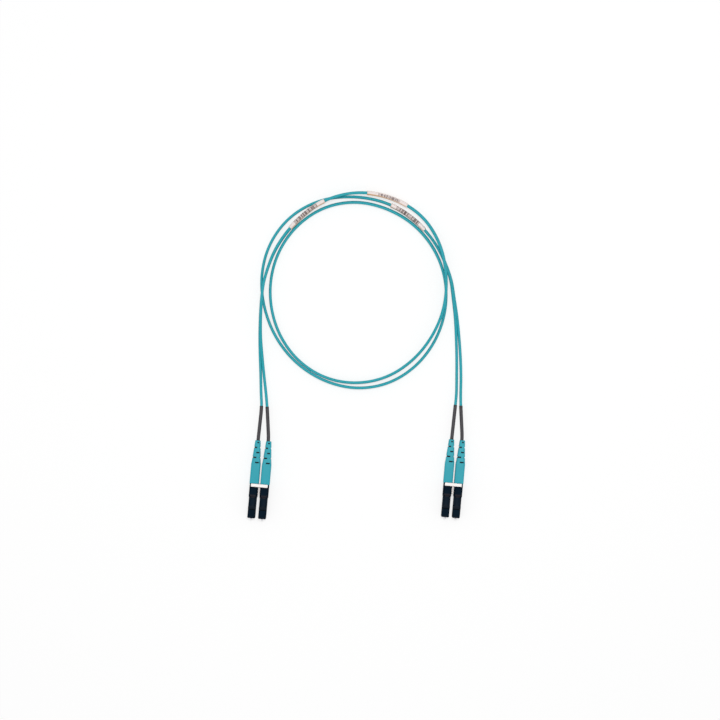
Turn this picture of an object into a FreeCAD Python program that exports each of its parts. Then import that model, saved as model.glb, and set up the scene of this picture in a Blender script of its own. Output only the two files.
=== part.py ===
import FreeCAD, Part
import math
import os
import re

import Sketcher
from FreeCAD import Placement, Rotation, Vector

# A one metre duplex fiber patch cord: two pairs of small square plugs joined by a zip cord
# that lies in two and a half loose turns. In a plug's own frame Y runs rearward from the
# nose's front face, Z points up from the ferrule's axis and X points to the side.
SIZES = {
    # Where the pairs lie: the middle of each pair's front faces, and their tilt seen from above
    "left_front_x": -57.45,
    "left_front_y": -32.17,
    "right_front_x": 54.42,
    "right_front_y": -31.59,
    "plug_tilt": 5.0,
    "duplex_pitch": 6.25,
    # How far a hidden end of a form or a cut runs past the face it starts from
    "run_past": 1.0,
    # Front housing
    "nose_width": 4.5,
    "nose_length": 12.3,
    "nose_edge": 0.45,
    "recess_radius": 1.45,
    "recess_depth": 4.6,
    "shoulder_thickness": 0.9,
    "chamber_radius": 1.75,
    # Ferrule and the flange that carries it
    "ferrule_radius": 0.625,
    "ferrule_reach": 1.0,
    "ferrule_edge": 0.12,
    "shank_radius": 0.61,
    "shank_grip": 0.8,
    "shank_gap": 0.2,
    "ferrule_play": 0.06,
    "flange_radius": 1.5,
    "flange_length": 1.5,
    "tail_radius": 0.72,
    "tail_length": 3.2,
    "tail_bore": 0.4,
    # Spring behind the flange
    "spring_length": 6.4,
    "spring_radius": 1.12,
    "wire_radius": 0.14,
    "spring_turns": 7,
    "spring_play": 0.02,
    # Rear body
    "block_width": 4.9,
    "block_height": 5.4,
    "block_length": 7.8,
    "block_corner": 0.45,
    "block_bevel": 0.9,
    "spigot_length": 2.5,
    "spigot_play": 0.05,
    "pocket_radius": 1.4,
    "passage_radius": 0.55,
    "post_radius": 1.3,
    "post_length": 5.2,
    "post_ring": 0.06,
    "channel_width": 3.9,
    "channel_depth": 0.55,
    "channel_length": 4.7,
    # Latch arm
    "latch_hinge_at": 1.5,
    "latch_barrel": 0.35,
    "latch_width": 3.4,
    "latch_tail_width": 2.3,
    "latch_end": 13.3,
    "latch_gap": 0.1,
    "latch_slope": 0.115,
    "latch_root": 0.4,
    "latch_taper": 0.026,
    "lug_front": 5.4,
    "lug_length": 1.6,
    "lug_rise": 0.25,
    "barrel_play": 0.05,
    # Trigger
    "trigger_hinge_back": 2.65,
    "trigger_barrel": 0.4,
    "trigger_width": 3.4,
    "trigger_length": 4.75,
    "trigger_root_gap": 0.25,
    "trigger_root": 0.15,
    "trigger_lift": 2.0,
    "trigger_tip": 0.75,
    "tip_nose": 0.3,
    "tip_round": 0.25,
    "tip_round_in": 0.08,
    "tip_round_drop": 0.15,
    # Duplex clip
    "clip_bar": 0.8,
    "clip_seat": 0.2,
    "clip_back": 1.88,
    "clip_length": 1.83,
    "clip_reach": 4.85,
    "clip_round": 0.3,
    "lip_thickness": 0.4,
    "lip_depth": 0.55,
    "lip_play": 0.055,
    "web_thickness": 1.15,
    "tongue_length": 4.8,
    "tongue_top": 1.6,
    "tongue_bottom": 1.8,
    # Crimp sleeve
    "crimp_gap": 0.2,
    "crimp_length": 5.6,
    "crimp_bore": 1.4,
    "crimp_radius": 1.85,
    "crimp_bevel": 0.45,
    "neck_length": 5.8,
    "neck_radius": 1.15,
    "neck_play": 0.04,
    # Strain relief boot
    "boot_length": 24.9,
    "boot_width": 5.4,
    "boot_corner": 0.9,
    "boot_grip": 11.3,
    "boot_shoulder": 1.5,
    "boot_shoulder_width": 4.95,
    "boot_end_width": 3.05,
    "boot_end_corner": 1.1,
    "boot_play": 0.15,
    "ear_length": 0.5,
    "ear_depth": 0.3,
    "slot_first": 1.45,
    "slot_step": 2.88,
    "slot_thickness": 0.7,
    "slot_left": 0.51,
    "slot_right": 1.37,
    "slot_wall": 0.45,
    # Strain relief sleeve
    "sleeve_radius": 1.0,
    "sleeve_bore": 0.85,
    "sleeve_play": 0.03,
    "sleeve_start": 12.6,
    "sleeve_free": 20.0,
    "sleeve_bend_radius": 20.0,
    "sleeve_bend_ahead": 0.2,
    "outer_bend": 1.2,
    "inner_bend": 7.6,
    # Zip cord
    "cord_radius": 0.8,
    "cord_bore": 0.5,
    "yarn_radius": 0.48,
    "yarn_bore": 0.33,
    "fiber_radius": 0.3,
    "strand_play": 0.08,
    "jacket_inset": 5.8,
    "fiber_start": 2.4,
    "lead": 5.0,
    # Label sleeves on the cord
    "label_radius": 1.2,
    "label_bore": 0.92,
}

# Plan of the turns, in millimetres: the middle of the ring, and the lane's radius where it
# passes the left, top left, top, top right, right, bottom right, bottom and bottom left
RING_X = 0.0
RING_Y = 97.92
FIRST_TURN = (54.0, 53.7, 58.1, 57.5, 51.5, 50.1, 51.7, 50.7)
SECOND_TURN = (49.7, 51.4, 52.6, 51.6, 52.0, 53.5, 54.6, 53.1)
THIRD_TURN = (54.8, 58.3, 55.7, 53.8, 54.9)
LANE = FIRST_TURN + SECOND_TURN + THIRD_TURN
LANE_STEP = 45
RING_START = 170
RING_STEP = 20
RING_POINTS = 45

# Each hump: the angle of its middle, half of its flat top, its slope, and its rise.
# The first turn climbs over the others at the left, the top and the right.
HUMPS = (
    (180, 10, 24, 3.9),
    (100, 10, 40, 3.9),
    (6, 24, 32, 3.9),
    (56 - 720, 16, 30, 0.5),
)

# How far the second strand leans over the first, at the same stations as the lane's radius
LEAN = (86, 97, 82, 77, 86, 90, 90, 90, 88, 83, 80, 78, 88, 90, 90, 90, 88, 86, 89, 90, 88)

# Points of the two legs: x, y, height, lean, and the distance between the two strands
LEFT_LEG = (
    (-54.3, 49.2, 1.9, 0, 2.65),
    (-55.1, 61.1, 1.3, 42, 1.86),
    (-55.6, 72.8, 2.4, 70, 1.78),
    (-55.7, 84.2, 4.2, 78, 1.7),
    (-55.2, 95.8, 4.7, 85, 1.67),
)
RIGHT_LEG = (
    (56.1, 95.6, 0.8, 82, 1.68),
    (57.4, 84.0, 0.8, 45, 1.8),
    (58.5, 72.5, 0.8, 18, 1.84),
    (59.0, 61.0, 1.2, 0, 2.25),
    (59.3, 49.5, 1.9, 0, 2.65),
)

# Label sleeves: the turn they are on, and the angles between which they lie
LABELS = {
    "label_left_end": (0, 135, 109),
    "label_middle": (0, 84, 60),
    "label_right_end": (2, 68.5, 43),
}
LABEL_STATIONS = 7

# An arc of a cord's path starts this share of the shorter run before its corner
ARC_REACH = 0.45
# Points compared for the least gap: their distance, and how many neighbours are left out
GAP_STEP = 1.0
GAP_NEIGHBOURS = 20
# Points that carry an angle round the ring: their distance, the first one's angle, and how
# many points to each side give the cord's direction
TURN_STEP = 0.25
TURN_FIRST = 300
TURN_SPAN = 4
# Where the rings of the crimp post sit, as shares of its length
POST_RINGS = (0.3, 0.5, 0.7)
# Two coordinates closer than this are the same
SAME = 0.001

os.makedirs("parts", exist_ok=True)
doc = FreeCAD.newDocument("fiber_patch_cord")
sheet = doc.addObject("Spreadsheet::Sheet", "Sizes")
for row, (alias, value) in enumerate(SIZES.items(), 1):
    sheet.set(f"A{row}", alias)
    sheet.set(f"B{row}", str(value))
    sheet.setAlias(f"B{row}", alias)
doc.recompute()

# Places along a plug, measured rearward from the front face
SHOULDER = "(recess_depth + shoulder_thickness)"
FLANGE_END = f"({SHOULDER} + flange_length)"
SPRING_END = f"({FLANGE_END} + spring_length)"
BLOCK_END = "(nose_length + block_length)"
CLIP_FRONT = f"({BLOCK_END} - clip_back)"
CRIMP_FRONT = f"({BLOCK_END} + crimp_gap)"
CRIMP_END = f"({CRIMP_FRONT} + crimp_length)"
NECK_END = f"({CRIMP_END} + neck_length)"
BOOT_END = f"({BLOCK_END} + boot_length)"
TRIGGER_HINGE = f"({BLOCK_END} - trigger_hinge_back)"
# Heights above the ferrule's axis
NOSE_TOP = "nose_width / 2"
BLOCK_TOP = "block_height / 2"
CLIP_TOP = "(block_height / 2 - clip_seat + clip_bar)"


def bound(text):
    # The same expression, with each named size read from the sheet
    return re.sub(r"[a-z_]+", lambda word: "Sizes." + word[0] if word[0] in SIZES else word[0], text)


def size(text):
    # The value of an expression of named sizes
    result = sheet.evalExpression(bound(text).replace("Sizes.", ""))
    return float(getattr(result, "Value", result))


def bind(item, prop, text):
    item.setExpression(prop, bound(text))


def new_body(name):
    body = doc.addObject("PartDesign::Body", name)
    body.Label = name
    return body


def new_sketch(body, role, name, offset):
    sketch = body.newObject("Sketcher::SketchObject", f"{body.Name}_{name}")
    plane = next(item for item in body.Origin.OriginFeatures if item.Role == role)
    sketch.AttachmentSupport = [(plane, "")]
    sketch.MapMode = "FlatFace"
    if offset:
        bind(sketch, "AttachmentOffset.Base.z", offset)
    return sketch


def outline(body, role, name, *loops, offset=None):
    # A sketch of closed outlines, each corner held by its two distances from the origin
    sketch = new_sketch(body, role, name, offset)
    ties = []
    held = []
    first = 0
    for corners in loops:
        points = [Vector(size(across), size(up), 0) for across, up in corners]
        count = len(points)
        for i in range(count):
            sketch.addGeometry(Part.LineSegment(points[i], points[(i + 1) % count]), False)
        for i, point in enumerate(points):
            ties.append(Sketcher.Constraint("Coincident", first + i, 2, first + (i + 1) % count, 1))
            held.append((len(ties), corners[i][0]))
            ties.append(Sketcher.Constraint("DistanceX", -1, 1, first + i, 1, point.x))
            held.append((len(ties), corners[i][1]))
            ties.append(Sketcher.Constraint("DistanceY", -1, 1, first + i, 1, point.y))
        first += count
    sketch.addConstraint(ties)
    for index, text in held:
        bind(sketch, f"Constraints[{index}]", text)
    return sketch


def disc(body, role, name, across, up, radius):
    # A sketch of one circle
    sketch = new_sketch(body, role, name, None)
    centre = Vector(size(across), size(up), 0)
    sketch.addGeometry(Part.Circle(centre, Vector(0, 0, 1), size(radius)), False)
    sketch.addConstraint([
        Sketcher.Constraint("DistanceX", -1, 1, 0, 3, centre.x),
        Sketcher.Constraint("DistanceY", -1, 1, 0, 3, centre.y),
        Sketcher.Constraint("Radius", 0, size(radius)),
    ])
    for index, text in enumerate((across, up, radius)):
        bind(sketch, f"Constraints[{index}]", text)
    return sketch


def rounded_square(body, name, width, corner, offset):
    # A square with round corners, across the plug
    sketch = new_sketch(body, "XZ_Plane", name, offset)
    reach = size(f"{width} / 2 - {corner}")
    radius = size(corner)
    ties = []
    for i, (across, up) in enumerate(((1, 1), (-1, 1), (-1, -1), (1, -1))):
        centre = Vector(across * reach, up * reach, 0)
        circle = Part.Circle(centre, Vector(0, 0, 1), radius)
        sketch.addGeometry(Part.ArcOfCircle(circle, i * math.pi / 2, (i + 1) * math.pi / 2), False)
        ties.append(Sketcher.Constraint("DistanceX", -1, 1, i, 3, centre.x))
        ties.append(Sketcher.Constraint("DistanceY", -1, 1, i, 3, centre.y))
        ties.append(Sketcher.Constraint("Radius", i, radius))
    for i in range(4):
        start = sketch.Geometry[i].EndPoint
        end = sketch.Geometry[(i + 1) % 4].StartPoint
        sketch.addGeometry(Part.LineSegment(start, end), False)
        ties.append(Sketcher.Constraint("Tangent", i, 2, 4 + i, 1))
        ties.append(Sketcher.Constraint("Tangent", 4 + i, 2, (i + 1) % 4, 1))
    sketch.addConstraint(ties)
    for i, (across, up) in enumerate((("", ""), ("-", ""), ("-", "-"), ("", "-"))):
        bind(sketch, f"Constraints[{3 * i}]", f"{across}({width} / 2 - {corner})")
        bind(sketch, f"Constraints[{3 * i + 1}]", f"{up}({width} / 2 - {corner})")
        bind(sketch, f"Constraints[{3 * i + 2}]", corner)
    return sketch


def box(left, right, low, high):
    return ((left, low), (right, low), (right, high), (left, high))


def pad(sketch, length, symmetric=True):
    # Material from a sketch, half on each side of it or all on the side away from the nose
    body = sketch.getParentGeoFeatureGroup()
    feature = body.newObject("PartDesign::Pad", f"{sketch.Name}_pad")
    feature.Profile = sketch
    feature.SideType = "Symmetric" if symmetric else "One side"
    feature.Reversed = not symmetric
    bind(feature, "Length", length)
    return feature


def pocket(sketch, length, symmetric=True, reverse=False):
    # A cut from a sketch, half on each side of it, or all on one side
    body = sketch.getParentGeoFeatureGroup()
    feature = body.newObject("PartDesign::Pocket", f"{sketch.Name}_pocket")
    feature.Profile = sketch
    feature.SideType = "Symmetric" if symmetric else "One side"
    feature.Reversed = reverse
    bind(feature, "Length", length)
    return feature


def turned(sketch, kind):
    # A Revolution or a Groove about the ferrule's axis
    body = sketch.getParentGeoFeatureGroup()
    feature = body.newObject(f"PartDesign::{kind}", f"{sketch.Name}_turn")
    feature.Profile = sketch
    feature.ReferenceAxis = (sketch, ["V_Axis"])
    feature.Angle = 360
    return feature


def edges_where(feature, chosen):
    # Names of the feature's edges that are chosen by their two ends
    doc.recompute()
    names = []
    for index, edge in enumerate(feature.Shape.Edges, 1):
        if chosen(edge.Vertexes[0].Point, edge.Vertexes[-1].Point):
            names.append(f"Edge{index}")
    return names


def front_housing(name):
    body = new_body(name)
    half = "nose_width / 2"
    square = outline(body, "XY_Plane", "nose", box(f"-{half}", half, "0", "nose_length"))
    nose = pad(square, "nose_width")

    def at_front(start, end):
        return max(start.y, end.y) < SAME

    edge = body.newObject("PartDesign::Chamfer", f"{name}_edge")
    edge.Base = (nose, edges_where(nose, at_front))
    bind(edge, "Size", "nose_edge")
    hole = "ferrule_radius + ferrule_play"
    bores = outline(body, "XY_Plane", "bores", (
        ("0", "-run_past"),
        ("recess_radius", "-run_past"),
        ("recess_radius", "recess_depth"),
        (hole, "recess_depth"),
        (hole, SHOULDER),
        ("chamber_radius", SHOULDER),
        ("chamber_radius", "nose_length + run_past"),
        ("0", "nose_length + run_past"),
    ))
    turned(bores, "Groove")
    trough = disc(body, "YZ_Plane", "trough", "latch_hinge_at", NOSE_TOP, "latch_barrel + barrel_play")
    pocket(trough, "latch_width + 2 * barrel_play")
    return body


def latch_arm(name):
    body = new_body(name)

    def under(at):
        return f"(nose_width / 2 + latch_gap + latch_slope * ({at} - latch_hinge_at))"

    def over(at):
        return f"({under(at)} + latch_root + latch_taper * ({at} - latch_hinge_at))"

    tail_front = "lug_front + lug_length"
    lug_ramp = "lug_front + lug_length / 2"
    arm = outline(body, "YZ_Plane", "arm", (
        ("latch_hinge_at", under("latch_hinge_at")),
        ("latch_end", under("latch_end")),
        ("latch_end", over("latch_end")),
        ("latch_hinge_at", over("latch_hinge_at")),
    ))
    pad(arm, "latch_tail_width")
    front = outline(body, "YZ_Plane", "front", (
        ("latch_hinge_at", under("latch_hinge_at")),
        (tail_front, under(tail_front)),
        (tail_front, over(tail_front)),
        ("latch_hinge_at", over("latch_hinge_at")),
    ))
    pad(front, "latch_width")
    lugs = outline(body, "YZ_Plane", "lugs", (
        ("lug_front", under("lug_front")),
        (tail_front, under(tail_front)),
        (tail_front, f"{over(tail_front)} + lug_rise"),
        (lug_ramp, f"{over(lug_ramp)} + lug_rise"),
        ("lug_front", over("lug_front")),
    ))
    pad(lugs, "nose_width")
    pad(disc(body, "YZ_Plane", "barrel", "latch_hinge_at", NOSE_TOP, "latch_barrel"), "latch_width")
    return body


def trigger(name):
    body = new_body(name)
    root = f"{BLOCK_TOP} + trigger_root_gap"
    tip = f"{TRIGGER_HINGE} - trigger_length"
    under_tip = f"{root} + trigger_lift - trigger_root_gap"
    blade = outline(body, "YZ_Plane", "blade", (
        (f"{TRIGGER_HINGE} - trigger_root_gap", root),
        (f"{TRIGGER_HINGE} + trigger_root_gap", f"{root} + trigger_root"),
        (f"{tip} + tip_round", f"{under_tip} + trigger_tip"),
        (f"{tip} + tip_round_in", f"{under_tip} + trigger_tip - tip_round_drop"),
        (tip, f"{under_tip} + tip_nose"),
        (f"{tip} + tip_round", under_tip),
    ))
    pad(blade, "trigger_width")
    pad(disc(body, "YZ_Plane", "barrel", TRIGGER_HINGE, BLOCK_TOP, "trigger_barrel"), "trigger_width")
    return body


def rear_body(name, side):
    body = new_body(name)
    half = "block_width / 2"
    block = outline(body, "XY_Plane", "block", (
        (f"-{half}", "nose_length"),
        (half, "nose_length"),
        (half, f"{BLOCK_END} - block_bevel"),
        (f"{half} - block_corner", BLOCK_END),
        (f"block_corner - {half}", BLOCK_END),
        (f"-{half}", f"{BLOCK_END} - block_bevel"),
    ))
    pad(block, "block_height")
    spigot = outline(body, "XY_Plane", "spigot", (
        ("0", "nose_length - spigot_length"),
        ("chamber_radius - spigot_play", "nose_length - spigot_length"),
        ("chamber_radius - spigot_play", "nose_length + run_past"),
        ("0", "nose_length + run_past"),
    ))
    turned(spigot, "Revolution")
    rings = [("0", f"{BLOCK_END} - run_past"), ("post_radius", f"{BLOCK_END} - run_past")]
    for ring in POST_RINGS:
        place = f"{BLOCK_END} + post_length * {ring}"
        rings.append(("post_radius", f"{place} - post_ring"))
        rings.append(("post_radius + post_ring", place))
        rings.append(("post_radius", f"{place} + post_ring"))
    rings += [("post_radius", f"{BLOCK_END} + post_length"), ("0", f"{BLOCK_END} + post_length")]
    turned(outline(body, "XY_Plane", "post", rings), "Revolution")
    bores = outline(body, "XY_Plane", "bores", (
        ("0", "nose_length - spigot_length - run_past"),
        ("pocket_radius", "nose_length - spigot_length - run_past"),
        ("pocket_radius", SPRING_END),
        ("passage_radius", SPRING_END),
        ("passage_radius", f"{BLOCK_END} + post_length + run_past"),
        ("0", f"{BLOCK_END} + post_length + run_past"),
    ))
    turned(bores, "Groove")
    channel = box(
        "-channel_width / 2",
        "channel_width / 2",
        "nose_length - run_past",
        "nose_length + channel_length",
    )
    floor = outline(body, "XY_Plane", "channel", channel, offset=f"{BLOCK_TOP} - channel_depth")
    pocket(floor, "channel_depth + run_past", symmetric=False, reverse=True)
    trough = disc(body, "YZ_Plane", "trough", TRIGGER_HINGE, BLOCK_TOP, "trigger_barrel + barrel_play")
    pocket(trough, "trigger_width + 2 * barrel_play")
    seats = outline(
        body,
        "YZ_Plane",
        "seats",
        box(CLIP_FRONT, f"{BLOCK_END} + run_past", f"{BLOCK_TOP} - clip_seat", f"{BLOCK_TOP} + run_past"),
        box(CLIP_FRONT, f"{BLOCK_END} + run_past", f"-{BLOCK_TOP} - run_past", f"clip_seat - {BLOCK_TOP}"),
    )
    pocket(seats, "block_width + run_past")
    lip_inside = "clip_reach - lip_thickness - lip_play - duplex_pitch / 2"
    lip_outside = "clip_reach + lip_play - duplex_pitch / 2"
    near, far = (lip_inside, lip_outside) if side > 0 else (f"-({lip_outside})", f"-({lip_inside})")
    lip_floor = f"{BLOCK_TOP} - clip_seat - lip_depth"
    slots = outline(
        body,
        "XZ_Plane",
        "slots",
        box(near, far, lip_floor, f"{BLOCK_TOP} + run_past"),
        box(near, far, f"-{BLOCK_TOP} - run_past", f"-({lip_floor})"),
        offset=f"-{CLIP_FRONT}",
    )
    pocket(slots, "clip_back + run_past", symmetric=False)
    return body


def ferrule(name):
    body = new_body(name)
    profile = outline(body, "XY_Plane", "profile", (
        ("0", "-ferrule_reach"),
        ("ferrule_radius - ferrule_edge", "-ferrule_reach"),
        ("ferrule_radius", "ferrule_edge - ferrule_reach"),
        ("ferrule_radius", "recess_depth - shank_gap"),
        ("shank_radius", SHOULDER),
        ("shank_radius", f"{SHOULDER} + shank_grip"),
        ("0", f"{SHOULDER} + shank_grip"),
    ))
    turned(profile, "Revolution")
    return body


def ferrule_flange(name):
    body = new_body(name)
    profile = outline(body, "XY_Plane", "profile", (
        ("shank_radius", SHOULDER),
        ("flange_radius", SHOULDER),
        ("flange_radius", FLANGE_END),
        ("tail_radius", FLANGE_END),
        ("tail_radius", f"{FLANGE_END} + tail_length"),
        ("tail_bore", f"{FLANGE_END} + tail_length"),
        ("tail_bore", f"{SHOULDER} + shank_grip"),
        ("shank_radius", f"{SHOULDER} + shank_grip"),
    ))
    turned(profile, "Revolution")
    return body


def arc_middle(near, way, far):
    # The middle of the arc that leaves one point in the given direction and ends at another
    chord = far - near
    normal = chord - way * chord.dot(way)
    radius = chord.dot(chord) / (2 * normal.Length)
    centre = near + normal.normalize() * radius
    return centre + ((near - centre) + (far - centre)).normalize() * radius


def biarc(start, start_way, end, end_way):
    # Two tangent arcs from one point to another, leaving and arriving in the given directions
    gap = end - start
    forward = gap.dot(start_way + end_way)
    spread = 2 * (1 - start_way.dot(end_way))
    reach = (math.sqrt(forward ** 2 + spread * gap.dot(gap)) - forward) / spread
    meet = (start + end) * 0.5 + (start_way - end_way) * (reach / 2)
    first = Part.Arc(start, arc_middle(start, start_way, meet), meet)
    second = Part.Arc(meet, arc_middle(end, end_way * -1, meet), end)
    return [first.toShape(), second.toShape()]


def spring(name):
    # A coil spring whose wire is one tube along quarter turns
    radius = size("spring_radius")
    wire = size("wire_radius")
    start = size(f"{FLANGE_END} + wire_radius + spring_play")
    end = size(f"{SPRING_END} - wire_radius - spring_play")
    quarters = int(4 * size("spring_turns"))
    rise = (end - start) / quarters
    slope = rise / (radius * math.pi / 2)

    def corner(index):
        angle = index * math.pi / 2
        across = math.cos(angle)
        up = math.sin(angle)
        place = Vector(radius * across, start + rise * index, radius * up)
        return place, Vector(-up, slope, across).normalize()

    edges = []
    for index in range(quarters):
        edges += biarc(*corner(index), *corner(index + 1))
    place, way = corner(0)
    circle = Part.Wire(Part.makeCircle(wire, place, way))
    feature = doc.addObject("Part::Feature", name)
    feature.Shape = Part.Wire(edges).makePipeShell([circle], True, False)
    return feature


def crimp_sleeve(name):
    body = new_body(name)
    neck_bore = "cord_radius + neck_play"
    profile = outline(body, "XY_Plane", "profile", (
        ("crimp_bore", CRIMP_FRONT),
        ("crimp_radius", CRIMP_FRONT),
        ("crimp_radius", CRIMP_END),
        ("neck_radius", f"{CRIMP_END} + crimp_bevel"),
        ("neck_radius", NECK_END),
        (neck_bore, NECK_END),
        (neck_bore, CRIMP_END),
        ("crimp_bore", CRIMP_END),
    ))
    turned(profile, "Revolution")
    return body


def boot(name):
    body = new_body(name)
    grip_end = f"{BLOCK_END} + boot_grip"
    shoulder_end = f"{grip_end} + boot_shoulder"
    front = rounded_square(body, "front", "boot_width", "boot_corner", f"-{BLOCK_END}")
    pad(front, "boot_grip", symmetric=False)
    taper = body.newObject("PartDesign::AdditiveLoft", f"{name}_taper")
    taper.Profile = rounded_square(body, "taper_front", "boot_width", "boot_corner", f"-({grip_end})")
    taper.Sections = [
        rounded_square(body, "taper_middle", "boot_shoulder_width", "boot_corner", f"-({shoulder_end})"),
        rounded_square(body, "taper_end", "boot_end_width", "boot_end_corner", f"-{BOOT_END}"),
    ]
    taper.Ruled = True
    edge = "block_width / 2"
    ears = []
    for sign in ("", "-"):
        ears.append((
            (f"{sign}({edge})", f"{BLOCK_END} - ear_length"),
            (f"{sign}({edge})", f"{BLOCK_END} + run_past"),
            (f"{sign}({edge} - ear_depth)", f"{BLOCK_END} + run_past"),
            (f"{sign}({edge} - ear_depth)", BLOCK_END),
        ))
    pad(outline(body, "XY_Plane", "ears", *ears), "boot_width - 2 * boot_corner")
    crimp_room = "crimp_radius + boot_play"
    crimp_room_end = f"{CRIMP_END} + boot_play"
    neck_room = "neck_radius + boot_play"
    neck_room_end = f"{CRIMP_END} + crimp_bevel + boot_play"
    sleeve_room = "sleeve_radius + sleeve_play"
    cavity = outline(body, "XY_Plane", "cavity", (
        ("0", f"{BLOCK_END} - run_past"),
        (crimp_room, f"{BLOCK_END} - run_past"),
        (crimp_room, crimp_room_end),
        (neck_room, neck_room_end),
        (neck_room, f"{NECK_END} + boot_play"),
        (sleeve_room, f"{NECK_END} + boot_play"),
        (sleeve_room, f"{BOOT_END} + run_past"),
        ("0", f"{BOOT_END} + run_past"),
    ))
    turned(cavity, "Groove")
    # Slots that let the taper bend: some cut from above and below, some from the sides
    half = "boot_width / 2"
    core = "(sleeve_radius + sleeve_play + slot_wall)"
    above = []
    beside = []
    for level in range(5):
        low = f"{BOOT_END} - slot_first - slot_step * {level} - slot_thickness / 2"
        high = f"{low} + slot_thickness"
        if level % 2 == 0:
            above.append(box("-slot_left", "slot_right", low, high))
        else:
            above.append(box(f"-{half}", "0", low, high))
            above.append(box("boot_end_width / 2", half, low, high))
            beside.append(box(low, high, f"-{half}", half))
    upper = outline(body, "XY_Plane", "upper_slots", *above, offset=core)
    pocket(upper, "boot_width", symmetric=False, reverse=True)
    lower = outline(body, "XY_Plane", "lower_slots", *above, offset=f"-{core}")
    pocket(lower, "boot_width", symmetric=False)
    left = outline(body, "YZ_Plane", "side_slots", *beside, offset=f"-{core}")
    pocket(left, "boot_width", symmetric=False)
    return body


def duplex_clip(name):
    body = new_body(name)
    bar_low = f"{BLOCK_TOP} - clip_seat"
    right = (
        ("clip_reach", CLIP_TOP),
        ("clip_reach", f"{bar_low} - lip_depth + lip_play"),
        ("clip_reach - lip_thickness", f"{bar_low} - lip_depth + lip_play"),
        ("clip_reach - lip_thickness", bar_low),
        ("web_thickness / 2", bar_low),
    )
    corners = list(right)
    corners += [(across, f"-({up})") for across, up in reversed(right)]
    corners += [(f"-({across})", f"-({up})") for across, up in right]
    corners += [(f"-({across})", up) for across, up in reversed(right)]
    section = outline(body, "XZ_Plane", "section", corners, offset=f"-{CLIP_FRONT}")
    bars = pad(section, "clip_length", symmetric=False)
    reach = size("clip_reach")

    def across_end(start, end):
        return min(abs(start.x), abs(end.x)) > reach - SAME and abs(start.y - end.y) < SAME

    rounding = body.newObject("PartDesign::Fillet", f"{name}_rounding")
    rounding.Base = (bars, edges_where(bars, across_end))
    bind(rounding, "Radius", "clip_round")
    profile = box(
        f"{CLIP_FRONT} - tongue_length",
        f"{CLIP_FRONT} + run_past",
        "-tongue_bottom",
        "tongue_top",
    )
    pad(outline(body, "YZ_Plane", "tongue", profile), "web_thickness")
    return body


def place_on_pair(item, pair, side):
    # Puts a piece at its plug, or with side 0 at the middle of the pair
    item.Placement = Placement(Vector(), Rotation(Vector(0, 0, -1), size("plug_tilt")))
    bind(item, "Placement.Rotation.Angle", "plug_tilt")
    bind(item, "Placement.Base.x", f"{pair}_front_x + ({side}) * duplex_pitch / 2 * cos(plug_tilt * 1 deg)")
    bind(item, "Placement.Base.y", f"{pair}_front_y - ({side}) * duplex_pitch / 2 * sin(plug_tilt * 1 deg)")
    bind(item, "Placement.Base.z", CLIP_TOP)


def plug_point(pair, side, across, back):
    # A point on the ferrule's level of a plug, in the cord's frame
    tilt = math.radians(size("plug_tilt"))
    across += side * size("duplex_pitch") / 2
    return (
        size(f"{pair}_front_x") + across * math.cos(tilt) + back * math.sin(tilt),
        size(f"{pair}_front_y") - across * math.sin(tilt) + back * math.cos(tilt),
        size(CLIP_TOP),
    )


def sleeve_points(pair, side, start):
    # Straight out of the boot, a slight bend at its end, and straight through the sleeve
    bend = size("-outer_bend") if side < 0 else size("inner_bend")
    corner = size(f"{BOOT_END} - sleeve_bend_ahead") + held_length(bend)
    free = size(f"{BOOT_END} + sleeve_free") - corner
    turn = math.radians(bend)
    end = (-free * math.sin(turn), corner + free * math.cos(turn))
    lead = size("lead")
    last = (end[0] - lead * math.sin(turn), end[1] + lead * math.cos(turn))
    return [plug_point(pair, side, across, back) for across, back in ((0, start), (0, corner), end, last)]


def held_length(bend):
    # How far from its corner the sleeve's bend starts
    return size("sleeve_bend_radius") * math.tan(math.radians(abs(bend)) / 2)


def between(stations, place):
    # The value at a place along even stations, on a smooth curve through all of them
    index = min(int(place), len(stations) - 2)
    part = place - index
    start = stations[index]
    end = stations[index + 1]
    before = stations[max(index - 1, 0)]
    after = stations[min(index + 2, len(stations) - 1)]
    curve = 2 * before - 5 * start + 4 * end - after + part * (3 * (start - end) + after - before)
    return start + part / 2 * (end - before + part * curve)


def hump(angle, middle, flat, slope):
    # 1 on the flat top of a hump, 0 beyond its slopes
    past = min(max((abs(angle - middle) - flat) / slope, 0), 1)
    return 0.5 + 0.5 * math.cos(math.pi * past)


def ring_points():
    # The pair's line round the turns, clockwise: x, y, height, lean and spacing
    points = []
    outside = 1 / math.cos(math.radians(RING_STEP / 2))
    for index in range(RING_POINTS):
        angle = RING_START - RING_STEP * index
        station = (180 - angle) / LANE_STEP
        radius = between(LANE, station) * outside
        height = size("cord_radius") + sum(rise * hump(angle, *shape) for *shape, rise in HUMPS)
        turn = math.radians(angle)
        spot = (RING_X + radius * math.cos(turn), RING_Y + radius * math.sin(turn))
        points.append((*spot, height, between(LEAN, station), size("2 * cord_radius + strand_play")))
    return points


def strand_points(strand):
    # One strand of the pair: 1 starts on the left and crosses under the other
    line = [*LEFT_LEG, *ring_points(), *RIGHT_LEG]
    points = []
    for index, (x, y, height, lean, spacing) in enumerate(line):
        before = line[max(index - 1, 0)]
        after = line[min(index + 1, len(line) - 1)]
        way_x = after[0] - before[0]
        way_y = after[1] - before[1]
        along = math.hypot(way_x, way_y)
        lean = math.radians(lean)
        aside = spacing * math.cos(lean) / 2 * (-1 if strand == 1 else 1)
        lift = spacing * math.sin(lean) if strand == 2 else 0
        points.append((x + aside * way_y / along, y - aside * way_x / along, height + lift))
    return points


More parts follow.
